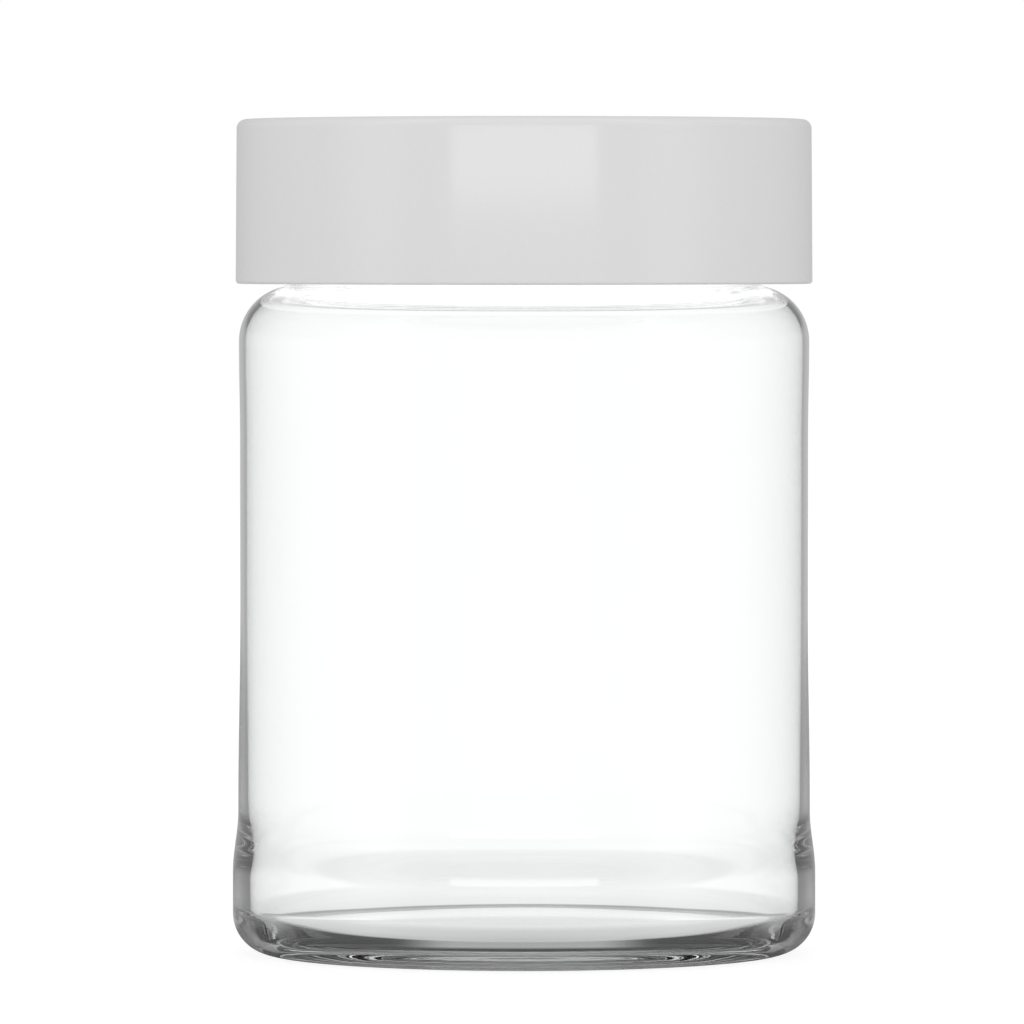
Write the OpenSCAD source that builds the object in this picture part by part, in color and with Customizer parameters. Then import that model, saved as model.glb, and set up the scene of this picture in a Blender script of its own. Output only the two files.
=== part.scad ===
// Glass storage jar with a screw lid: a light outer cover over a threaded inner cap, and a soft liner disc.
// The jar stands on z = 0 and everything turns about the Z axis.

/* [Jar body] */
// Diameter of the glass at its waist, its straightest stretch
waist_d = 103.4; // [95:0.1:112]
// Height of the shoulder's highest ring above the table
body_h = 121.6; // [105:0.1:180]
// Radius of the rounded shoulder
shoulder_r = 10; // [9:0.1:10.6]
// How far the shoulder stands out from the waist
shoulder_swell = 0.2; // [0:0.05:0.6]
// Height over which the wall leans out to the shoulder
shoulder_run_h = 18; // [8:1:24]
// Height of the waist's lower end above the table
waist_low = 62; // [48:1:64]
// How far the heel band stands out from the waist
heel_swell = 1.4; // [0.4:0.05:1.6]
// How far the wall leans out between the waist and the heel band
foot_lean = 0.4; // [0:0.05:0.4]
// Height of the heel band's upper edge
heel_band_top = 15; // [12:0.1:18]
// Height over which the heel band runs back into the wall
heel_flare_h = 11; // [5:0.1:12]
// Radius of the rounded heel
heel_r = 7.4; // [6:0.1:10.5]
// Width of the flat ring that the jar stands on
stand_w = 2.5; // [1:0.1:4]
// Height of the hollow under the base at its centre
punt_h = 1.2; // [0.5:0.1:2.8]

/* [Jar wall] */
// Wall at the waist
wall = 1.15; // [0.9:0.05:1.8]
// Wall at the heel, where the floor begins
heel_wall = 3.1; // [2.6:0.05:4]
// Height below which the wall grows thicker
wall_taper_top = 55; // [40:1:60]
// Height of the inside floor at its edge
floor_z = 4.3; // [4:0.1:8]
// Rise of the inside floor at its centre
floor_rise = 1.6; // [0:0.1:2.6]
// Radius of the inside corner at the floor
floor_corner_r = 4.6; // [2:0.1:6]

/* [Neck] */
// How far the neck, between its threads, is set in from the waist
neck_inset = 8.7; // [7.5:0.1:10]
// Height of the neck above the shoulder
neck_h = 24.9; // [23.5:0.1:26]
// Wall of the neck
neck_wall = 2.2; // [1.8:0.05:3]
// Rounding where the neck meets the shoulder
neck_fillet_r = 1.2; // [0.6:0.1:1.6]
// Rounding of the rim's edges
rim_r = 0.8; // [0.4:0.05:0.85]

/* [Thread] */
// Number of thread ridges round the neck
thread_starts = 4; // [3:1:5]
// Height from one ridge to the next
thread_pitch = 6; // [5.6:0.1:6.4]
// How far round the neck each ridge runs, in degrees
neck_thread_turn = 110; // [90:1:120]
// How far round the cap each ridge runs, in degrees
cap_thread_turn = 70; // [50:1:80]
// Depth of the ridges on the glass
neck_thread_h = 1.5; // [1.2:0.05:1.6]
// Width of the glass ridges at their root
neck_thread_w = 2.8; // [2.4:0.1:3]
// Width of the glass ridges at their crest
neck_crest_w = 1; // [0.6:0.1:1.4]
// Width of the cap ridges at their root
cap_thread_w = 2.4; // [2:0.1:2.8]
// Width of the cap ridges at their crest
cap_crest_w = 0.9; // [0.6:0.1:1.2]
// Height from the rim down to the upper end of the glass ridges
thread_from_rim = 3.4; // [3:0.1:4]
// Play between the flanks of the two threads
thread_play = 0.35; // [0.3:0.05:0.5]
// Radial gap between a ridge's crest and the wall that it runs on
crest_gap = 0.5; // [0.35:0.05:0.6]

/* [Lid cover] */
// Height of the cover
cover_h = 29.9; // [29:0.1:30.4]
// Thickness of the cover's top
cover_top_t = 2; // [1.4:0.1:2.4]
// Wall of the cover's skirt at its lower edge
cover_wall = 1.9; // [1.4:0.1:2.2]
// How much smaller in radius the cover is at its top
cover_draft = 0.18; // [0:0.02:0.4]
// Rounding of the cover's top edge
cover_edge_r = 1.7; // [0.8:0.1:1.8]
// Rounding of the cover's lower edge
cover_foot_r = 0.6; // [0.2:0.05:0.6]
// Rounding inside the cover, between skirt and top
cover_inside_r = 1; // [0.6:0.1:1.2]
// How far the snap bead stands in from the skirt
bead_t = 0.6; // [0.4:0.05:0.8]
// Height of the snap bead
bead_h = 1; // [0.8:0.05:1.2]
// Height of the snap bead's lower edge above the cover's lower edge
bead_from_foot = 0.9; // [0.7:0.1:1.2]
// Number of ribs that are held between a pair of drive keys
key_pairs = 6; // [2:1:8]
// Thickness of a drive key
key_t = 1.2; // [0.8:0.1:1.6]
// How far a drive key stands in from the skirt
key_depth = 1.8; // [1.2:0.1:2.2]

/* [Inner cap] */
// Wall of the threaded skirt
cap_wall = 1.6; // [1.2:0.1:1.8]
// Thickness of the inner cap's top
cap_top_t = 1.8; // [1.2:0.1:2.2]
// Gap between the jar's shoulder height and the cap's lower edge
cap_foot_gap = 0.9; // [0.6:0.1:1.4]
// Number of ribs round the inner cap
rib_count = 24; // [16:1:32]
// How far the ribs stand out from the cap's skirt, which sets the cover's width
rib_depth = 3.9; // [3:0.1:5]
// Thickness of a rib
rib_t = 1.2; // [0.8:0.1:1.6]
// Gap between a rib and the cover's skirt
rib_gap = 0.1; // [0.05:0.01:0.15]
// Gap between a rib and the snap bead or the drive keys
snap_gap = 0.2; // [0.1:0.05:0.3]

/* [Liner] */
// Thickness of the liner disc
liner_t = 1.6; // [1:0.1:2]
// Gap between the liner's edge and the cap's skirt
liner_gap = 0.4; // [0.2:0.05:0.6]

/* [Hidden] */

// Steps along a quarter round and along a gentle curve
round_steps = 14;
gentle_steps = 7;
// Degrees between the rings of a thread ridge, and over which its end fades into the wall
thread_step = 5;
thread_fade = 14;

// Radii and heights of the glass
waist_out_r = waist_d / 2;
shoulder_out_r = waist_out_r + shoulder_swell;
shoulder_mid_r = shoulder_out_r - shoulder_r;
shoulder_z = body_h - shoulder_r;
lean_out_r = waist_out_r + foot_lean;
heel_out_r = waist_out_r + heel_swell;
heel_mid_r = heel_out_r - heel_r;
heel_flare_top = heel_band_top + heel_flare_h;
stand_in_r = heel_mid_r - stand_w;
waist_in_r = waist_out_r - wall;
heel_in_r = heel_out_r - heel_wall;
corner_mid_r = heel_in_r - floor_corner_r;
corner_z = floor_z + floor_corner_r;
waist_top = shoulder_z - shoulder_run_h;
neck_r = waist_out_r - neck_inset;
neck_in_r = neck_r - neck_wall;
rim_z = body_h + neck_h;

// Both sides of the shoulder end where a small round leads into the neck
inner_shoulder_r = shoulder_r - wall;
outer_root_angle = acos((neck_r + neck_fillet_r - shoulder_mid_r) / (shoulder_r + neck_fillet_r));
inner_root_angle = acos((neck_in_r + neck_fillet_r - shoulder_mid_r) / (inner_shoulder_r + neck_fillet_r));

// The thread: all its ridges rise by this lead in one turn
lead = thread_pitch * thread_starts;
neck_thread_z = rim_z - thread_from_rim - lead * neck_thread_turn / 360;
cap_in_r = neck_r + neck_thread_h + crest_gap;
cap_out_r = cap_in_r + cap_wall;
cap_thread_h = cap_in_r - neck_r - crest_gap;
cap_thread_lag = (neck_thread_turn - cap_thread_turn) / 2;
thread_sink_share = 0.6;
thread_sink = thread_sink_share * min(neck_wall, cap_wall);
cap_crest_share = (thread_sink + crest_gap) / (thread_sink + neck_thread_h);
neck_width_there = neck_thread_w + (neck_crest_w - neck_thread_w) * cap_crest_share;
thread_drop = (neck_width_there + cap_crest_w) / 2 + thread_play;
cap_thread_z = neck_thread_z + lead * cap_thread_lag / 360 - thread_drop;

// Heights in the lid, stacked up from the rim
liner_top_z = rim_z + liner_t;
cap_top_z = liner_top_z + cap_top_t;
lid_top_z = cap_top_z + cover_top_t;
lid_foot_z = lid_top_z - cover_h;
cap_foot_z = body_h + cap_foot_gap;
rib_r = cap_out_r + rib_depth;
cover_in_r = rib_r + rib_gap;
cover_out_r = cover_in_r + cover_wall;
bead_z = lid_foot_z + bead_from_foot;
rib_foot_z = bead_z + bead_h + snap_gap;

// Points along an arc of the profile, from one angle to another
function arc(mid_r, mid_z, r, from, to, steps = round_steps, first = 0) =
    [for (i = [first:steps]) let (a = from + (to - from) * i / steps) [mid_r + r * cos(a), mid_z + r * sin(a)]];

// Points along a soft S between two places of the profile, upright at both ends
function soft_s(r0, z0, r1, z1) =
    [for (i = [0:gentle_steps]) let (t = i / gentle_steps) [r0 + (r1 - r0) * (1 - cos(180 * t)) / 2, z0 + (z1 - z0) * t]];

// Points across a low dome, from the centre out
function dome(edge_r, edge_z, rise) =
    [for (i = [0:gentle_steps]) let (t = i / gentle_steps) [edge_r * t, edge_z + rise * (1 - t * t)]];

// The inside wall grows thicker towards the heel
function foot_wall_line() =
    [for (i = [1:gentle_steps]) let (t = i / gentle_steps)
        [heel_in_r + (waist_in_r - heel_in_r) * (1 - (1 - t) * (1 - t)), corner_z + (wall_taper_top - corner_z) * t]];

function reversed(points) = [for (i = [len(points) - 1:-1:0]) points[i]];

// The outside of the glass, from the centre of the base to the rim
function glass_outside() = concat(
    dome(stand_in_r, 0, punt_h),
    arc(heel_mid_r, heel_r, heel_r, -90, 0),
    soft_s(heel_out_r, heel_band_top, lean_out_r, heel_flare_top),
    [[waist_out_r, waist_low]],
    [[waist_out_r, waist_top]],
    arc(shoulder_mid_r, shoulder_z, shoulder_r, 0, outer_root_angle),
    arc(neck_r + neck_fillet_r, shoulder_z + (shoulder_r + neck_fillet_r) * sin(outer_root_angle),
        neck_fillet_r, 180 + outer_root_angle, 180, gentle_steps),
    arc(neck_r - rim_r, rim_z - rim_r, rim_r, 0, 90, gentle_steps));

// The inside of the glass, from the centre of the floor to the rim
function glass_inside() = concat(
    dome(corner_mid_r, floor_z, floor_rise),
    arc(corner_mid_r, corner_z, floor_corner_r, -90, 0, gentle_steps, 1),
    foot_wall_line(),
    [[waist_in_r, waist_top]],
    arc(shoulder_mid_r, shoulder_z, inner_shoulder_r, 0, inner_root_angle),
    arc(neck_in_r + neck_fillet_r, shoulder_z + (inner_shoulder_r + neck_fillet_r) * sin(inner_root_angle),
        neck_fillet_r, 180 + inner_root_angle, 180, gentle_steps),
    arc(neck_in_r + rim_r, rim_z - rim_r, rim_r, 180, 90, gentle_steps));

// Place of a point that is turned by a about the Z axis
function turned(r, a, z) = [r * cos(a), r * sin(a), z];

// One ridge of a right-hand thread. It stands out by h from a wall of radius wall_r, or in where side is -1.
module thread_ridge(wall_r, h, side, root_w, crest_w, turn, z0) {
    steps = ceil(turn / thread_step);
    root_r = wall_r - side * thread_sink;
    rings = [for (i = [0:steps])
        let (a = turn * i / steps,
             k = min(1, a / thread_fade, (turn - a) / thread_fade),
             crest_r = wall_r + side * (h * k - thread_sink * (1 - k) / 3),
             z = z0 + lead * a / 360,
             ring = [turned(root_r, a, z - root_w / 2), turned(crest_r, a, z - crest_w / 2),
                     turned(crest_r, a, z + crest_w / 2), turned(root_r, a, z + root_w / 2)])
        side > 0 ? ring : reversed(ring)];
    corners = len(rings[0]);
    flanks = [for (i = [0:steps - 1], j = [0:corners - 1])
        let (low = i * corners, high = low + corners, next = (j + 1) % corners)
        each [[low + j, low + next, high + next], [low + j, high + next, high + j]]];
    last = steps * corners;
    ends = [[3, 2, 1], [3, 1, 0], [last, last + 1, last + 2], [last, last + 2, last + 3]];
    polyhedron(points = [for (ring = rings) each ring], faces = concat(flanks, ends));
}

// Every ridge of the thread, spaced evenly round the axis
module thread(wall_r, h, side, root_w, crest_w, turn, z0, lag = 0)
    for (i = [0:thread_starts - 1])
        rotate(i * 360 / thread_starts + lag)
            thread_ridge(wall_r, h, side, root_w, crest_w, turn, z0);

// The jar: a blown glass body with a threaded neck
module glass_jar()
    color([0.86, 0.93, 0.91, 0.35])
        union() {
            rotate_extrude($fn = 128)
                polygon(concat(glass_outside(), reversed(glass_inside())));
            thread(neck_r, neck_thread_h, 1, neck_thread_w, neck_crest_w, neck_thread_turn, neck_thread_z);
        }

// The cover's outline, hollow from below, with the snap bead near its lower edge
module cover_outline() {
    top_r = cover_out_r - cover_draft;
    polygon(concat(
        [[0, lid_top_z - cover_top_t]],
        reversed(arc(cover_in_r - cover_inside_r, lid_top_z - cover_top_t - cover_inside_r,
            cover_inside_r, 0, 90, gentle_steps)),
        [[cover_in_r, bead_z + bead_h],
         [cover_in_r - bead_t, bead_z + bead_h - bead_t / 3],
         [cover_in_r - bead_t, bead_z + bead_h / 2],
         [cover_in_r, bead_z]],
        [[cover_in_r, lid_foot_z]],
        arc(cover_out_r - cover_foot_r, lid_foot_z + cover_foot_r, cover_foot_r, -90, 0, gentle_steps),
        arc(top_r - cover_edge_r, lid_top_z - cover_edge_r, cover_edge_r, 0, 90),
        [[0, lid_top_z]]));
}

// The smooth outer cover, with pairs of keys that hold the inner cap's ribs and turn it
module lid_cover()
    color([0.86, 0.86, 0.86])
        union() {
            rotate_extrude($fn = 128)
                cover_outline();
            for (i = [0:key_pairs - 1], side = [-1, 1])
                rotate(floor(i * rib_count / key_pairs) * 360 / rib_count)
                    translate([cover_in_r - key_depth, side * (rib_t / 2 + snap_gap + key_t / 2) - key_t / 2, rib_foot_z])
                        cube([key_depth + cover_wall / 2, key_t, cap_top_z - cover_inside_r - rib_foot_z]);
        }

// The threaded cup inside the cover, with ribs that carry the cover
module inner_cap()
    color([0.95, 0.95, 0.94])
        union() {
            rotate_extrude($fn = 128)
                polygon([
                    [0, liner_top_z],
                    [cap_in_r, liner_top_z],
                    [cap_in_r, cap_foot_z],
                    [cap_out_r, cap_foot_z],
                    [cap_out_r, cap_top_z],
                    [0, cap_top_z]]);
            thread(cap_in_r, cap_thread_h, -1, cap_thread_w, cap_crest_w, cap_thread_turn, cap_thread_z, cap_thread_lag);
            for (i = [0:rib_count - 1])
                rotate(i * 360 / rib_count)
                    translate([cap_out_r - cap_wall / 2, -rib_t / 2, rib_foot_z])
                        cube([rib_r - cap_out_r + cap_wall / 2, rib_t, cap_top_z - cover_inside_r - rib_foot_z]);
        }

// The soft disc that is pressed on the rim
module seal_liner()
    color([0.93, 0.94, 0.95])
        translate([0, 0, rim_z])
            cylinder(r = cap_in_r - liner_gap, h = liner_t, $fn = 128);

glass_jar();
lid_cover();
inner_cap();
seal_liner();
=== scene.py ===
import math

import bpy
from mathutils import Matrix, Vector


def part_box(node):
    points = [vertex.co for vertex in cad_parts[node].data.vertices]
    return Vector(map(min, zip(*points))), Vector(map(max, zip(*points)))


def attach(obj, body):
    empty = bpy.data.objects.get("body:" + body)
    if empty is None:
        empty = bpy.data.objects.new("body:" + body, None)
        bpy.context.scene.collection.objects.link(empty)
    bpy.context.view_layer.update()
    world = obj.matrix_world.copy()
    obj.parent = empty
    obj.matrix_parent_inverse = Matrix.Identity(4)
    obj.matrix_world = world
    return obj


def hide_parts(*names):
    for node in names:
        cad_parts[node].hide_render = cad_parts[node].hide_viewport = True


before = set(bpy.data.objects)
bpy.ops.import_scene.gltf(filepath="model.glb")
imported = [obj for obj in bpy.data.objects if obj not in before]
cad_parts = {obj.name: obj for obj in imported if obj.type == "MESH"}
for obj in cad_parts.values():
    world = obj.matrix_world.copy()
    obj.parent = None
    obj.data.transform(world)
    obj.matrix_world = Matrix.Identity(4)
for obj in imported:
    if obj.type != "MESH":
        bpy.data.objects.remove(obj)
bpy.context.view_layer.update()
scene = bpy.context.scene
mm = 0.001

# The pieces keep the heights and the widest radii that the frame gives them
jarLow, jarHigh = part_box("glass_jar")
coverLow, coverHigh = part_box("lid_cover")
capLow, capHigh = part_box("inner_cap")
linerLow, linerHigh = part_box("seal_liner")
rimZ = jarHigh[2]
heelR = (jarHigh[0] - jarLow[0]) / 2
coverR = (coverHigh[0] - coverLow[0]) / 2
linerR = (linerHigh[0] - linerLow[0]) / 2

# chords in a small, a middling and a large rounding
smallRound, middleRound, largeRound = 4, 8, 16


def arcPoints(midR, midZ, radius, fromDeg, toDeg, steps):
    # a round stretch of an outline, as (r, z) pairs
    points = []
    for i in range(steps + 1):
        a = math.radians(fromDeg + (toDeg - fromDeg) * i / steps)
        points.append((midR + radius * math.cos(a), midZ + radius * math.sin(a)))
    return points


def easedPoints(start, end, steps):
    # a soft S between two places of an outline, upright at both ends
    (r0, z0), (r1, z1) = start, end
    points = []
    for i in range(steps + 1):
        t = i / steps
        ease = t * t * (3 - 2 * t)
        points.append((r0 + (r1 - r0) * ease, z0 + (z1 - z0) * t))
    return points


def domePoints(edgeR, edgeZ, rise, steps):
    # a low dome, from the centre out
    return [(edgeR * i / steps, edgeZ + rise * (1 - (i / steps) ** 2)) for i in range(steps + 1)]


def wallPoints(r, fromZ, toZ, steps):
    # an upright wall in even steps, for a thread to be raised on
    return [(r, fromZ + (toZ - fromZ) * i / steps) for i in range(steps + 1)]


def deselectAll():
    if bpy.context.object and bpy.context.object.mode != "OBJECT":
        bpy.ops.object.mode_set(mode="OBJECT")
    bpy.ops.object.select_all(action="DESELECT")


weldWithin = 0.002 * mm


def spinOutline(name, outline, steps):
    # draws the outline point by point from a collapsed plane, then spins it about Z
    deselectAll()
    bpy.ops.mesh.primitive_plane_add(size=mm, location=(0, 0, 0))
    piece = bpy.context.object
    piece.name = piece.data.name = name
    bpy.ops.object.mode_set(mode="EDIT")
    bpy.ops.mesh.merge(type="CENTER")
    bpy.ops.transform.translate(value=(outline[0][0], 0, outline[0][1]))
    for (r0, z0), (r1, z1) in zip(outline, outline[1:]):
        bpy.ops.mesh.extrude_region_move(TRANSFORM_OT_translate={"value": (r1 - r0, 0, z1 - z0)})
    bpy.ops.mesh.select_all(action="SELECT")
    bpy.ops.mesh.spin(steps=steps, angle=math.tau, center=(0, 0, 0), axis=(0, 0, 1))
    bpy.ops.mesh.select_all(action="SELECT")
    bpy.ops.mesh.remove_doubles(threshold=weldWithin)
    bpy.ops.mesh.normals_make_consistent(inside=False)
    bpy.ops.object.mode_set(mode="OBJECT")
    bpy.ops.object.shade_smooth()
    return piece


print("stage: camera and studio")

photoView = {
    "pixels": 1024,
    "pixelsPerMm": 5.49,  # at the jar's axis
    "distance": 1.81,
    "height": 0.13,
    "aimZ": 0.0804,
    "sideways": -0.0022,
    "sensor": 36,
    "clip": (0.01, 50),
}


def addCamera(view):
    camData = bpy.data.cameras.new("photoCamera")
    camera = bpy.data.objects.new("photoCamera", camData)
    scene.collection.objects.link(camera)
    focalPixels = view["pixelsPerMm"] / mm * view["distance"]
    camData.sensor_width = view["sensor"]
    camData.lens = camData.sensor_width * focalPixels / view["pixels"]
    camData.clip_start, camData.clip_end = view["clip"]
    camera.location = (view["sideways"], -view["distance"], view["height"])
    pitch = math.atan((view["height"] - view["aimZ"]) / view["distance"])
    camera.rotation_euler = (math.radians(90) - pitch, 0, 0)
    scene.camera = camera


addCamera(photoView)
scene.view_settings.view_transform = "Standard"
# light crosses many glass surfaces before it leaves the jar
scene.cycles.max_bounces = 40
scene.cycles.transmission_bounces = 36
scene.cycles.glossy_bounces = 24
scene.cycles.diffuse_bounces = 8


def node(tree, kind, **settings):
    # adds a node and sets its values by property or socket name
    made = tree.nodes.new(kind)
    for key, value in settings.items():
        if hasattr(made, key):
            setattr(made, key, value)
        else:
            made.inputs[key.replace("_", " ")].default_value = value
    return made


def feed(tree, socket, value):
    # gives a socket another node's output, or a number
    if isinstance(value, bpy.types.NodeSocket):
        tree.links.new(value, socket)
    else:
        socket.default_value = value


def maths(tree, operation, *values):
    made = node(tree, "ShaderNodeMath", operation=operation)
    for socket, value in zip(made.inputs, values):
        feed(tree, socket, value)
    return made.outputs[0]


def rampBetween(tree, value, limits, levels, kind="SMOOTHSTEP"):
    # goes from the first level to the second as the value crosses the limits
    made = node(tree, "ShaderNodeMapRange", interpolation_type=kind)
    tree.links.new(value, made.inputs["Value"])
    for socket, number in zip(("From Min", "From Max", "To Min", "To Max"), (*limits, *levels)):
        made.inputs[socket].default_value = number
    return made.outputs["Result"]


def mixShades(tree, factor, first, second):
    made = node(tree, "ShaderNodeMix", data_type="FLOAT")
    tree.links.new(factor, made.inputs[0])
    feed(tree, made.inputs[2], first)
    feed(tree, made.inputs[3], second)
    return made.outputs[0]


def curve(tree, value, stops):
    # a float that follows a few (place, level) stops of a value from 0 to 1
    ramp = tree.nodes.new("ShaderNodeValToRGB")
    ramp.color_ramp.interpolation = "EASE"
    elements = ramp.color_ramp.elements
    while len(elements) < len(stops):
        elements.new(0.5)
    most = max(level for place, level in stops)
    for element, (place, level) in zip(elements, stops):
        element.position = place
        element.color = (level / most,) * 3 + (1,)
    tree.links.new(value, ramp.inputs[0])
    return maths(tree, "MULTIPLY", ramp.outputs["Color"], most)


shadeRepeats = 4  # the shading repeats round the jar, so that all sides look alike
thickPasses = 2.5  # a ray bent by thick glass has passed no more of its surfaces than this


def roundPattern(tree, turned):
    # swings from -1 to 1 and back a few times in a turn round the jar
    return maths(tree, "COSINE", maths(tree, "MULTIPLY", turned, shadeRepeats))


studio = {
    "ambient": 0.8,  # soft light from all round
    "throughLevel": 1.06,  # makes up for what two thin walls mirror away
    "baseMirrors": 0.75,  # the low sky, mirrored by the underside of the base
    "baseSky": (0.03, 0.1),
    # dark surroundings, seen bent by thick glass, as (place in the pattern, level)
    "aroundStops": ((0.2, 0.22), (0.99, 0.46)),
    "highSky": (0.03, 0.12),
    "highShade": 0.1,
    "lowSky": (-0.25, -0.08),
    "lowShade": 0.1,
    # what the outside of the glass and the lid mirror, as (part of a half turn from behind, level)
    "panels": ((0.12, 0.53), (0.5, 0.9), (0.66, 1.5), (0.78, 1.0)),
    "softboxGlow": 3,
    "softboxHalfDeg": 29,
    "softboxEdge": 0.006,
    "softboxFoot": (-0.018, -0.008),
    "softboxHead": (0.05, 0.12),
    "keyWatts": 8.36,
    "keySize": 1.2,
    "keyAway": 2.2,
    "keyHigh": 1.1,
}


def skyThroughGlass(tree, s, path, azimuth, rise):
    # thick glass, which light enters and leaves only once, shows dark surroundings off the axis
    level = maths(tree, "MULTIPLY_ADD", roundPattern(tree, azimuth), 0.5, 0.5)
    around = curve(tree, level, s["aroundStops"])
    high = rampBetween(tree, rise, s["highSky"], (1, s["highShade"]))
    low = rampBetween(tree, rise, s["lowSky"], (s["lowShade"], 1))
    thick = maths(tree, "MULTIPLY", maths(tree, "MULTIPLY", high, around), low)
    # thin walls show plain white, and the underside of the base mirrors the low sky a little dimmer
    mirroredInside = maths(tree, "GREATER_THAN", path.outputs["Glossy Depth"], 0.5)
    dimmer = rampBetween(tree, rise, s["baseSky"], (s["throughLevel"], s["baseMirrors"]))
    thin = mixShades(tree, mirroredInside, s["throughLevel"], dimmer)
    thinWall = maths(tree, "GREATER_THAN", path.outputs["Transmission Depth"], thickPasses)
    return mixShades(tree, thinWall, thick, thin)


def skyMirrored(tree, s, azimuth, rise):
    # a softbox by the camera, side panels and a dim backdrop
    turn = maths(tree, "DIVIDE", maths(tree, "ABSOLUTE", azimuth), math.pi)
    edge = 1 - s["softboxHalfDeg"] / 180
    beside = s["panels"][-1][1]
    softbox = ((edge - s["softboxEdge"], beside), (edge + s["softboxEdge"], s["softboxGlow"]))
    withSoftbox = curve(tree, turn, s["panels"] + softbox)
    foot = rampBetween(tree, rise, s["softboxFoot"], (0, 1))
    head = rampBetween(tree, rise, s["softboxHead"], (1, 0))
    level = maths(tree, "MULTIPLY", foot, head)
    return mixShades(tree, level, curve(tree, turn, s["panels"]), withSoftbox)


def buildWorld(s):
    world = bpy.data.worlds.new("studioWorld")
    scene.world = world
    world.use_nodes = True
    tree = world.node_tree
    tree.nodes.clear()
    coords = tree.nodes.new("ShaderNodeTexCoord")
    split = tree.nodes.new("ShaderNodeSeparateXYZ")
    tree.links.new(coords.outputs["Generated"], split.inputs[0])
    azimuth = maths(tree, "ARCTAN2", split.outputs["X"], split.outputs["Y"])
    rise = split.outputs["Z"]
    path = tree.nodes.new("ShaderNodeLightPath")
    inGlass = path.outputs["Is Transmission Ray"]
    mirrored = skyMirrored(tree, s, azimuth, rise)
    seen = mixShades(tree, path.outputs["Is Glossy Ray"], s["ambient"], mirrored)
    seen = mixShades(tree, inGlass, seen, skyThroughGlass(tree, s, path, azimuth, rise))
    # rays that light a matt surface find the same level all round
    lighting = maths(tree, "GREATER_THAN", path.outputs["Diffuse Depth"], 0.5)
    seen = mixShades(tree, lighting, seen, mixShades(tree, inGlass, s["ambient"], s["throughLevel"]))
    seen = mixShades(tree, path.outputs["Is Camera Ray"], seen, 1)
    background = node(tree, "ShaderNodeBackground", Color=(1, 1, 1, 1))
    tree.links.new(seen, background.inputs["Strength"])
    output = tree.nodes.new("ShaderNodeOutputWorld")
    tree.links.new(background.outputs[0], output.inputs[0])


buildWorld(studio)


def addSoftLamp(name, s, side):
    # a large soft lamp, in front for side -1 and behind for side 1
    lampData = bpy.data.lights.new(name, "AREA")
    lampData.shape = "DISK"
    lampData.size = s["keySize"]
    lampData.energy = s["keyWatts"]
    lamp = bpy.data.objects.new(name, lampData)
    scene.collection.objects.link(lamp)
    place = Vector((0, side * s["keyAway"], s["keyHigh"]))
    lamp.location = place
    lamp.rotation_euler = place.to_track_quat("Z", "Y").to_euler()
    lamp.visible_glossy = False
    lamp.visible_transmission = False


addSoftLamp("frontLamp", studio, -1)
addSoftLamp("rearLamp", studio, 1)

floorLook = {
    "radius": 3.0,
    "sides": 96,
    "gap": 0.05 * mm,  # keeps the floor's face apart from the ring that stands on it
    "pale": 0.8,
    "seenPale": 0.2,
    "glow": 0.86,
    "farGlow": 1.06,
    "underShade": 0.5,  # painted shade under the glass, as the glass shows it
    "shadeReach": 150 * mm,
    "shadeFront": 45 * mm,
    "ringR": 45.7 * mm,  # painted shade where the ring that the jar stands on meets the table
    "ringSoft": 1.1 * mm,
    "ringShade": 0.03,
    "paintedBesidePale": 0.4,  # painted pale and shaded stretches of table round the ring
    "paintedBesideDark": 0.07,
    "besideLimits": (-0.6, 0.5),
    "shadeRing": 51 * mm,  # a painted ring of shade on the table, standing in for light bent by the heel
    "shadeRingHalf": 5.5 * mm,
    "shadeRingLevel": 0.32,
    "paintedShadeNear": 0.02,  # painted shade on the floor next to the jar, as its outside mirrors the floor
    "mirroredReach": 300 * mm,
    "contactR": 55 * mm,
    "contactSoft": 30 * mm,
}


def lengthOf(tree, vector):
    made = node(tree, "ShaderNodeVectorMath", operation="LENGTH")
    tree.links.new(vector, made.inputs[0])
    return made.outputs["Value"]


def paintedShadeThroughGlass(tree, f, place, fromAxis, thickGlass):
    # painted shade on the table as thin walls show it: darker at the jar's front, paler with distance from
    # it
    shifted = node(tree, "ShaderNodeMapping", vector_type="POINT")
    shifted.inputs["Location"].default_value = (0, f["shadeFront"], 0)
    tree.links.new(place, shifted.inputs["Vector"])
    away = lengthOf(tree, shifted.outputs["Vector"])
    paintedTableShade = rampBetween(tree, away, (0, f["shadeReach"]), (f["underShade"], f["farGlow"]), "LINEAR")
    offRing = maths(tree, "ABSOLUTE", maths(tree, "SUBTRACT", fromAxis, f["shadeRing"]))
    ringLimits = (f["shadeRingHalf"] / 2, f["shadeRingHalf"])
    paintedTableShade = maths(tree, "MULTIPLY", paintedTableShade, rampBetween(tree, offRing, ringLimits, (f["shadeRingLevel"], 1)))
    # painted shade on the table as thick glass shows it: pale and shaded stretches round the ring, and
    # darkest under the ring
    split = tree.nodes.new("ShaderNodeSeparateXYZ")
    tree.links.new(place, split.inputs[0])
    turned = maths(tree, "ARCTAN2", split.outputs["X"], split.outputs["Y"])
    paintedBesideLevels = (f["paintedBesideDark"], f["paintedBesidePale"])
    beside = rampBetween(tree, roundPattern(tree, turned), f["besideLimits"], paintedBesideLevels)
    standLimits = (f["ringR"] - f["ringSoft"], f["ringR"] + f["ringSoft"])
    inRing = rampBetween(tree, fromAxis, standLimits, (1, 0))
    return mixShades(tree, thickGlass, paintedTableShade, mixShades(tree, inRing, beside, f["ringShade"]))


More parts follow.
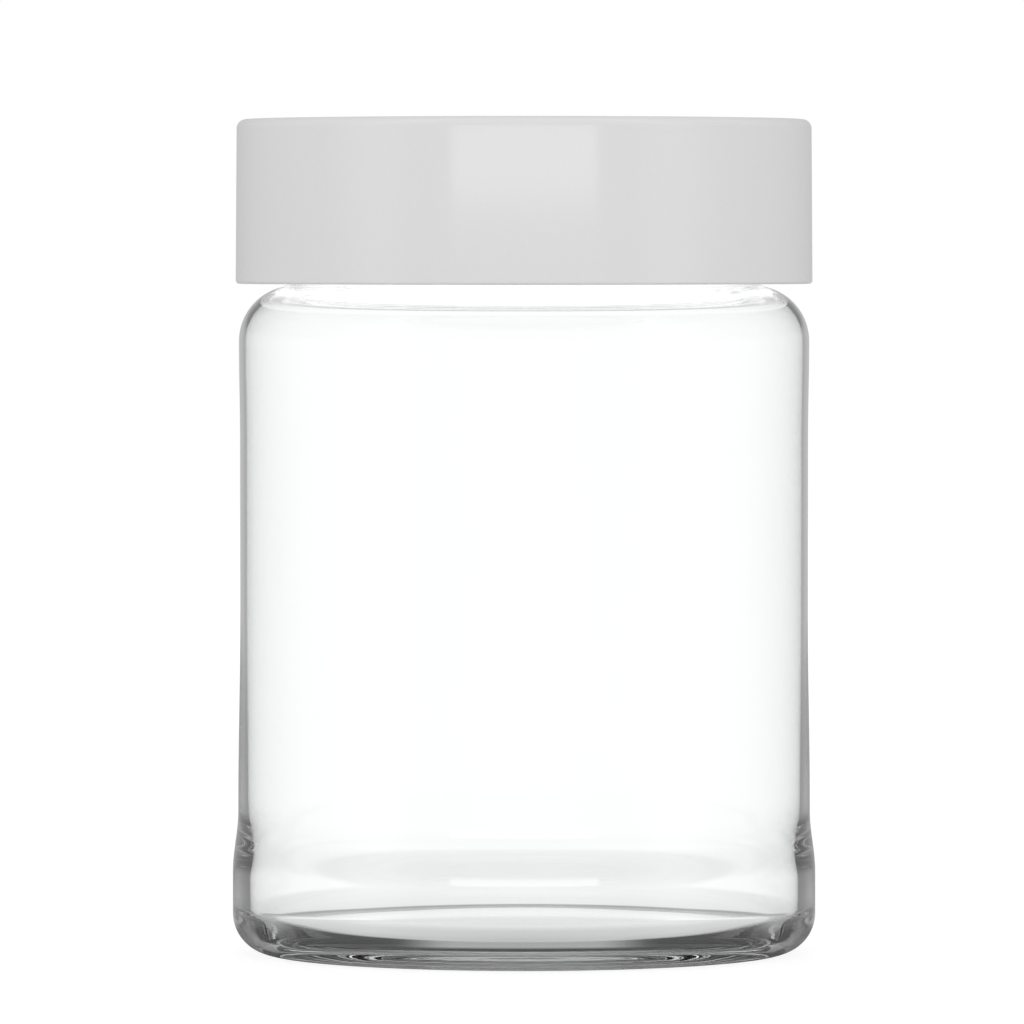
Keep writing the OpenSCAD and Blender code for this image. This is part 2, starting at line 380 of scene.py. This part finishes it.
def floorMaterial(f):
    material = bpy.data.materials.new("studioFloor")
    material.use_nodes = True
    tree = material.node_tree
    tree.nodes.clear()
    path = tree.nodes.new("ShaderNodeLightPath")
    mirrored, inGlass = path.outputs["Is Glossy Ray"], path.outputs["Is Transmission Ray"]
    direct = maths(tree, "MAXIMUM", path.outputs["Is Camera Ray"], mirrored)
    direct = maths(tree, "MAXIMUM", direct, inGlass)
    pale = mixShades(tree, direct, f["pale"], f["seenPale"])
    diffuse = tree.nodes.new("ShaderNodeBsdfDiffuse")
    tree.links.new(mixShades(tree, inGlass, pale, 0), diffuse.inputs["Color"])
    place = tree.nodes.new("ShaderNodeTexCoord").outputs["Object"]
    fromAxis = lengthOf(tree, place)
    paintedNearLevels = (f["paintedShadeNear"], f["glow"])
    paintedNearJarShade = rampBetween(tree, fromAxis, (f["ringR"], f["mirroredReach"]), paintedNearLevels)
    # the floor's even glow, with painted shade near the jar where the glass mirrors it
    bright = maths(tree, "MULTIPLY", direct, mixShades(tree, mirrored, f["glow"], paintedNearJarShade))
    thickGlass = maths(tree, "LESS_THAN", path.outputs["Transmission Depth"], thickPasses)
    shown = paintedShadeThroughGlass(tree, f, place, fromAxis, thickGlass)
    glow = tree.nodes.new("ShaderNodeEmission")
    tree.links.new(mixShades(tree, inGlass, bright, shown), glow.inputs["Strength"])
    both = tree.nodes.new("ShaderNodeAddShader")
    tree.links.new(diffuse.outputs[0], both.inputs[0])
    tree.links.new(glow.outputs[0], both.inputs[1])
    # away from the jar, mirrored rays go on to the world, which shades them by direction
    clear = tree.nodes.new("ShaderNodeBsdfTransparent")
    beyond = rampBetween(tree, fromAxis, (f["contactR"], f["contactR"] + f["contactSoft"]), (0, 1))
    mirroredThick = maths(tree, "MULTIPLY", thickGlass, mirrored)
    letThrough = tree.nodes.new("ShaderNodeMixShader")
    tree.links.new(maths(tree, "MULTIPLY", mirroredThick, beyond), letThrough.inputs[0])
    tree.links.new(both.outputs[0], letThrough.inputs[1])
    tree.links.new(clear.outputs[0], letThrough.inputs[2])
    output = tree.nodes.new("ShaderNodeOutputMaterial")
    tree.links.new(letThrough.outputs[0], output.inputs["Surface"])
    return material


def buildFloor(f):
    deselectAll()
    bpy.ops.mesh.primitive_circle_add(
        vertices=f["sides"], radius=f["radius"], fill_type="NGON", location=(0, 0, -f["gap"])
    )
    floor = bpy.context.object
    floor.name = floor.data.name = "studioFloor"
    floor.data.materials.append(floorMaterial(f))


buildFloor(floorLook)

print("stage: glass jar")

jarGlass = {
    "waistR": 51.7 * mm,
    "shoulderSwell": 0.2 * mm,
    "shoulderR": 10 * mm,
    "shoulderTop": 121.6 * mm,
    "shoulderRun": 18 * mm,  # height over which the wall swells out to the shoulder
    "swellEnd": 1 * mm,  # below the shoulder's round
    "waistLow": 62 * mm,
    "footLean": 0.4 * mm,
    "leanGap": 2 * mm,  # upright stretch above the flare
    "heelR": 7.4 * mm,
    "heelBandTop": 15 * mm,
    "heelFlare": 11 * mm,
    "standWidth": 2.5 * mm,
    "punt": 1.2 * mm,
    "wall": 1.15 * mm,
    "heelWall": 3.1 * mm,
    "taperTop": 55 * mm,
    "floorZ": 4.3 * mm,
    "floorRise": 1.6 * mm,
    "cornerR": 4.6 * mm,
    "neckR": 43 * mm,
    "neckWall": 2.2 * mm,
    "filletR": 1.2 * mm,
    "rimR": 0.8 * mm,
    "threadFoot": 4 * mm,  # above the fillet
    "threadHead": 1.6 * mm,  # below the rim
    "threadRings": 52,
    "domeSteps": 24,
    "taperSteps": 24,
    "roundSteps": 28,
    "flareSteps": 14,
    "spinSteps": 256,
}


def shoulderMiddle(g):
    # the middle of the shoulder's round, as radius and height
    return g["waistR"] + g["shoulderSwell"] - g["shoulderR"], g["shoulderTop"] - g["shoulderR"]


def shoulderPoints(g, waistR, roundR, neckR):
    # one wall's swell, the shoulder's round and the fillet at the neck's foot
    midR, midZ = shoulderMiddle(g)
    reach = roundR + g["filletR"]
    rootDeg = math.degrees(math.acos((neckR + g["filletR"] - midR) / reach))
    filletZ = midZ + reach * math.sin(math.radians(rootDeg))
    swellTop = (waistR + g["shoulderSwell"], midZ - g["swellEnd"])
    points = easedPoints((waistR, midZ - g["shoulderRun"]), swellTop, middleRound)
    points += arcPoints(midR, midZ, roundR, 0, rootDeg, g["roundSteps"])
    points += arcPoints(neckR + g["filletR"], filletZ, g["filletR"], 180 + rootDeg, 180, middleRound)[1:]
    return points


def jarOutside(g):
    heelMidR = heelR - g["heelR"]
    leanR = g["waistR"] + g["footLean"]
    bandTop, flareTop = g["heelBandTop"], g["heelBandTop"] + g["heelFlare"]
    outline = domePoints(heelMidR - g["standWidth"], 0, g["punt"], g["domeSteps"])
    outline += arcPoints(heelMidR, g["heelR"], g["heelR"], -90, 0, g["roundSteps"])
    outline += easedPoints((heelR, bandTop), (leanR, flareTop), g["flareSteps"])
    outline += easedPoints((leanR, flareTop + g["leanGap"]), (g["waistR"], g["waistLow"]), middleRound)
    outline += shoulderPoints(g, g["waistR"], g["shoulderR"], g["neckR"])
    filletZ = outline[-1][1]
    outline += wallPoints(g["neckR"], filletZ + g["threadFoot"], rimZ - g["threadHead"], g["threadRings"])
    outline += arcPoints(g["neckR"] - g["rimR"], rimZ - g["rimR"], g["rimR"], 0, 90, middleRound)
    return outline


def jarInside(g):
    heelInR = heelR - g["heelWall"]
    waistInR = g["waistR"] - g["wall"]
    neckInR = g["neckR"] - g["neckWall"]
    cornerMidR = heelInR - g["cornerR"]
    cornerZ = g["floorZ"] + g["cornerR"]
    outline = domePoints(cornerMidR, g["floorZ"], g["floorRise"], g["domeSteps"])
    outline += arcPoints(cornerMidR, cornerZ, g["cornerR"], -90, 0, largeRound)[1:]
    # the wall thins out on its way up from the heel
    for i in range(1, g["taperSteps"] + 1):
        t = i / g["taperSteps"]
        thinned = 1 - (1 - t) ** 2
        z = cornerZ + (g["taperTop"] - cornerZ) * t
        outline.append((heelInR + (waistInR - heelInR) * thinned, z))
    outline += shoulderPoints(g, waistInR, g["shoulderR"] - g["wall"], neckInR)
    outline += arcPoints(neckInR + g["rimR"], rimZ - g["rimR"], g["rimR"], 180, 90, middleRound)
    return outline


neckThread = {
    "wallR": 43 * mm,
    "side": 1,  # the ridges stand outwards
    "starts": 4,
    "lead": 24 * mm,
    "turn": 110,
    "lag": 0,
    "fade": 16,  # degrees over which a ridge runs out
    "high": 1.5 * mm,
    "rootWidth": 2.8 * mm,
    "crestWidth": 1 * mm,
    "belowRim": 10.733 * mm,
}


def ridgeHeight(t, turned, z):
    # how far the thread stands out at an angle in degrees and a height
    highest = 0
    for start in range(t["starts"]):
        local = (turned - start * 360 / t["starts"] - t["lag"]) % 360
        if local > t["turn"]:
            continue
        fade = min(1, local / t["fade"], (t["turn"] - local) / t["fade"])
        middle = rimZ - t["belowRim"] + t["lead"] * local / 360
        flank = (t["rootWidth"] / 2 - abs(z - middle)) / (t["rootWidth"] - t["crestWidth"]) * 2
        flank = min(1, max(0, flank))
        highest = max(highest, t["high"] * fade * (2 - fade) * flank * flank * (3 - 2 * flank))
    return highest


onWallWithin = 0.01 * mm


def raiseThread(piece, t):
    # pushes the upright wall at the thread's radius in or out along the ridges
    for vertex in piece.data.vertices:
        x, y, z = vertex.co
        r = math.hypot(x, y)
        if abs(r - t["wallR"]) < onWallWithin:
            grown = (r + t["side"] * ridgeHeight(t, math.degrees(math.atan2(y, x)), z)) / r
            vertex.co = (x * grown, y * grown, z)


jar = spinOutline("jarGlass", jarOutside(jarGlass) + jarInside(jarGlass)[::-1], jarGlass["spinSteps"])
raiseThread(jar, neckThread)
print("jar faces:", len(jar.data.polygons))

skinSockets = ("Wave Size", "Grain Size", "Grain")


def skinGroup():
    # the uneven skin that a mould leaves: soft waves, fine grain and a drift of shade
    group = bpy.data.node_groups.new("mouldSkin", "ShaderNodeTree")
    for name in skinSockets:
        group.interface.new_socket(name, in_out="INPUT", socket_type="NodeSocketFloat")
    for name in ("Height", "Shade"):
        group.interface.new_socket(name, in_out="OUTPUT", socket_type="NodeSocketFloat")
    entry = group.nodes.new("NodeGroupInput")
    leave = group.nodes.new("NodeGroupOutput")
    coords = group.nodes.new("ShaderNodeTexCoord")
    waves = node(group, "ShaderNodeTexNoise", Detail=2, Roughness=0.45)
    grain = node(group, "ShaderNodeTexNoise", Detail=3, Roughness=0.6)
    for noise, size in ((waves, "Wave Size"), (grain, "Grain Size")):
        group.links.new(coords.outputs["Object"], noise.inputs["Vector"])
        group.links.new(entry.outputs[size], noise.inputs["Scale"])
    height = mixShades(group, entry.outputs["Grain"], waves.outputs["Fac"], grain.outputs["Fac"])
    group.links.new(height, leave.inputs["Height"])
    both = maths(group, "ADD", waves.outputs["Fac"], grain.outputs["Fac"])
    group.links.new(maths(group, "MULTIPLY", both, 0.5), leave.inputs["Shade"])
    return group


mouldSkin = skinGroup()
shadeDrift = (0.35, 0.65)  # places of a material's two shades in the skin's drift
dullDrift = (0.3, 0.7)  # and of its two roughnesses


def addSkin(tree, shader, look):
    # places the skin in a material: a bump and two near shades of one colour
    skin = tree.nodes.new("ShaderNodeGroup")
    skin.node_tree = mouldSkin
    for socket in skinSockets:
        skin.inputs[socket].default_value = look[socket]
    bump = tree.nodes.new("ShaderNodeBump")
    bump.inputs["Strength"].default_value = look["bump"]
    bump.inputs["Distance"].default_value = look["depth"]
    tree.links.new(skin.outputs["Height"], bump.inputs["Height"])
    tree.links.new(bump.outputs["Normal"], shader.inputs["Normal"])
    shades = tree.nodes.new("ShaderNodeValToRGB")
    for element, place, colour in zip(shades.color_ramp.elements, shadeDrift, look["shades"]):
        element.position = place
        element.color = colour + (1,)
    tree.links.new(skin.outputs["Shade"], shades.inputs[0])
    tree.links.new(shades.outputs["Color"], shader.inputs["Base Color"])
    return skin, shades


glassLook = {
    "Wave Size": 16,
    "Grain Size": 60,
    "Grain": 0.15,
    "bump": 0.12,
    "depth": 0.08 * mm,
    "shades": ((0.983, 0.992, 0.989), (0.988, 0.994, 0.992)),
    "bending": 1.52,
}


def glassMaterial(look):
    material = bpy.data.materials.new("clearGlass")
    material.use_nodes = True
    tree = material.node_tree
    shader = tree.nodes["Principled BSDF"]
    addSkin(tree, shader, look)
    shader.inputs["Roughness"].default_value = 0
    shader.inputs["IOR"].default_value = look["bending"]
    shader.inputs["Transmission Weight"].default_value = 1
    return material


jar.data.materials.append(glassMaterial(glassLook))
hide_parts("glass_jar")
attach(jar, "jar")

print("stage: lid cover")

lidCover = {
    "wall": 1.9 * mm,
    "topThick": 2 * mm,
    "draft": 0.18 * mm,
    "edgeR": 1.7 * mm,
    "footR": 0.6 * mm,
    "insideR": 1 * mm,
    "beadThick": 0.6 * mm,
    "beadHigh": 1 * mm,
    "beadFromFoot": 0.9 * mm,
    "beadSteps": (4, 6),  # down to its crest, and on to the wall
    "spinSteps": 256,
}


def coverOutline(c):
    low, high = coverLow[2], coverHigh[2]
    inR = coverR - c["wall"]
    topR = coverR - c["draft"]
    ceiling = high - c["topThick"]
    beadZ, beadR = low + c["beadFromFoot"], inR - c["beadThick"]
    ontoBead, offBead = c["beadSteps"]
    outline = [(0, ceiling), (inR / 2, ceiling)]
    outline += arcPoints(inR - c["insideR"], ceiling - c["insideR"], c["insideR"], 90, 0, middleRound)
    outline += easedPoints((inR, beadZ + c["beadHigh"]), (beadR, beadZ + c["beadHigh"] * 2 / 3), ontoBead)
    outline += easedPoints((beadR, beadZ + c["beadHigh"] / 2), (inR, beadZ), offBead)
    outline += [(inR, low + c["footR"] / 4)]
    outline += arcPoints(coverR - c["footR"], low + c["footR"], c["footR"], -90, 0, middleRound)
    outline += arcPoints(topR - c["edgeR"], high - c["edgeR"], c["edgeR"], 0, 90, largeRound)
    outline += [(inR / 2, high), (0, high)]
    return outline


cover = spinOutline("lidCover", coverOutline(lidCover), lidCover["spinSteps"])
creaseDeg = 40  # sharper edges than this stay crisp


def addBar(name, low, high, edge):
    # an upright bar between two corners, with its edges rounded
    deselectAll()
    middle = [(a + b) / 2 for a, b in zip(low, high)]
    bpy.ops.mesh.primitive_cube_add(size=1, location=middle, scale=[b - a for a, b in zip(low, high)])
    bar = bpy.context.object
    bar.name = bar.data.name = name
    bpy.ops.object.transform_apply(location=True, rotation=True, scale=True)
    bpy.ops.object.mode_set(mode="EDIT")
    bpy.ops.mesh.select_all(action="SELECT")
    bpy.ops.mesh.bevel(offset=edge, segments=2, affect="EDGES")
    bpy.ops.object.mode_set(mode="OBJECT")
    bpy.ops.object.shade_smooth_by_angle(angle=math.radians(creaseDeg))
    return bar


def copyRound(bar, count):
    # even copies of a bar round the jar's axis, each with its own mesh; the bar itself is used up
    copies = []
    for i in range(count):
        deselectAll()
        bar.select_set(True)
        bpy.context.view_layer.objects.active = bar
        bpy.ops.object.duplicate(linked=False)
        copied = bpy.context.object
        copied.rotation_euler[2] = math.radians(i * 360 / count)
        bpy.ops.object.transform_apply(location=False, rotation=True, scale=False)
        copies.append(copied)
    bpy.data.objects.remove(bar, do_unlink=True)
    return copies


def joinInto(piece, parts):
    deselectAll()
    for part in parts:
        part.select_set(True)
    piece.select_set(True)
    bpy.context.view_layer.objects.active = piece
    bpy.ops.object.join()


driveKeys = {
    "pairs": 6,
    "thick": 1.2 * mm,
    "deep": 1.8 * mm,
    "sunk": 0.3 * mm,  # into the cover's wall
    "apart": 1.4 * mm,  # from the middle of a rib to the middle of a key
    "aboveFoot": 2.1 * mm,
    "underTop": 3 * mm,
    "edge": 0.2 * mm,
}


def addKeys(k):
    inR = coverR - lidCover["wall"]
    keys = []
    for side in (-1, 1):
        middle = side * k["apart"]
        low = (inR - k["deep"], middle - k["thick"] / 2, coverLow[2] + k["aboveFoot"])
        high = (inR + k["sunk"], middle + k["thick"] / 2, coverHigh[2] - k["underTop"])
        keys += copyRound(addBar("driveKey", low, high, k["edge"]), k["pairs"])
    joinInto(cover, keys)


addKeys(driveKeys)

coverLook = {
    "Wave Size": 25,
    "Grain Size": 1500,
    "Grain": 0.25,
    "bump": 0.08,
    "depth": 0.05 * mm,
    "shades": ((0.762, 0.762, 0.762), (0.778, 0.778, 0.778)),
    "roughness": (0.11, 0.14),
    # painted glow of the cover, seen through the glass or mirrored in it
    "paintedGlowThroughGlass": 0.3,
}


def plasticMaterial(name, look):
    material = bpy.data.materials.new(name)
    material.use_nodes = True
    tree = material.node_tree
    shader = tree.nodes["Principled BSDF"]
    skin, shades = addSkin(tree, shader, look)
    roughness = rampBetween(tree, skin.outputs["Shade"], dullDrift, look["roughness"])
    tree.links.new(roughness, shader.inputs["Roughness"])
    # painted glow: pale plastic that shows through the glass, or is mirrored in it, glows with its own
    # colour in place of light from all round
    path = tree.nodes.new("ShaderNodeLightPath")
    inGlass = maths(tree, "MAXIMUM", path.outputs["Is Transmission Ray"], path.outputs["Is Glossy Ray"])
    paintedGlow = node(tree, "ShaderNodeMix", data_type="RGBA")
    tree.links.new(inGlass, paintedGlow.inputs[0])
    paintedGlow.inputs[6].default_value = (0, 0, 0, 1)
    tree.links.new(shades.outputs["Color"], paintedGlow.inputs[7])
    tree.links.new(paintedGlow.outputs[2], shader.inputs["Emission Color"])
    shader.inputs["Emission Strength"].default_value = look["paintedGlowThroughGlass"]
    return material


cover.data.materials.append(plasticMaterial("palePlastic", coverLook))
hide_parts("lid_cover")
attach(cover, "lid")

print("stage: inner cap and liner")

innerCap = {
    "insideR": 45 * mm,
    "wall": 1.6 * mm,
    "edge": 0.35 * mm,
    "wallGap": 0.2 * mm,  # from the ceiling to the wall's first ring
    "rings": 66,
    "ribs": 24,
    "ribThick": 1.2 * mm,
    "ribFoot": 1.3 * mm,  # above the cap's own foot
    "ribHead": 1 * mm,
    "ribSunk": 0.4 * mm,  # into the cap's wall
    "ribEdge": 0.2 * mm,
    "spinSteps": 192,
}
capThread = {
    "wallR": 45 * mm,
    "side": -1,  # the ridges stand inwards
    "starts": 4,
    "lead": 24 * mm,
    "turn": 70,
    "lag": 20,
    "fade": 16,
    "high": 1.5 * mm,
    "rootWidth": 2.4 * mm,
    "crestWidth": 0.9 * mm,
    "belowRim": 11.066 * mm,
}


def capOutline(c):
    foot, top, ceiling = capLow[2], capHigh[2], linerHigh[2]
    inR, outR, edge = c["insideR"], c["insideR"] + c["wall"], c["edge"]
    outline = [(0, ceiling), (inR / 2, ceiling), (inR, ceiling)]
    outline += wallPoints(inR, ceiling - c["wallGap"], foot + edge, c["rings"])
    outline += arcPoints(inR + edge, foot + edge, edge, 180, 270, smallRound)[1:]
    outline += arcPoints(outR - edge, foot + edge, edge, -90, 0, smallRound)
    outline += arcPoints(outR - edge, top - edge, edge, 0, 90, smallRound)
    outline += [(inR / 2, top), (0, top)]
    return outline


def addCap(c):
    cap = spinOutline("innerCap", capOutline(c), c["spinSteps"])
    raiseThread(cap, capThread)
    outR = c["insideR"] + c["wall"]
    low = (outR - c["ribSunk"], -c["ribThick"] / 2, capLow[2] + c["ribFoot"])
    high = (capHigh[0], c["ribThick"] / 2, capHigh[2] - c["ribHead"])
    joinInto(cap, copyRound(addBar("capRib", low, high, c["ribEdge"]), c["ribs"]))
    return cap


capLook = {
    "Wave Size": 40,
    "Grain Size": 1200,
    "Grain": 0.4,
    "bump": 0.12,
    "depth": 0.05 * mm,
    "shades": ((0.86, 0.86, 0.85), (0.9, 0.9, 0.895)),
    "roughness": (0.35, 0.45),
    # painted glow of the cap, seen through the glass or mirrored in it
    "paintedGlowThroughGlass": 0.8,
}
cap = addCap(innerCap)
cap.data.materials.append(plasticMaterial("capPlastic", capLook))
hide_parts("inner_cap")
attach(cap, "lid")

sealLiner = {"edge": 0.3 * mm, "spinSteps": 128}
linerLook = {
    "Wave Size": 60,
    "Grain Size": 2500,
    "Grain": 0.7,
    "bump": 0.3,
    "depth": 0.06 * mm,
    "shades": ((0.86, 0.865, 0.87), (0.9, 0.905, 0.91)),
    "roughness": (0.5, 0.65),
    # painted glow of the liner, seen through the glass or mirrored in it
    "paintedGlowThroughGlass": 0.8,
}


def linerOutline(l):
    low, high, edge = linerLow[2], linerHigh[2], l["edge"]
    outline = [(0, low), (linerR / 2, low)]
    outline += arcPoints(linerR - edge, low + edge, edge, -90, 0, smallRound)
    outline += arcPoints(linerR - edge, high - edge, edge, 0, 90, smallRound)
    outline += [(linerR / 2, high), (0, high)]
    return outline


liner = spinOutline("sealLiner", linerOutline(sealLiner), sealLiner["spinSteps"])
liner.data.materials.append(plasticMaterial("linerFoam", linerLook))
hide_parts("seal_liner")
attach(liner, "liner")
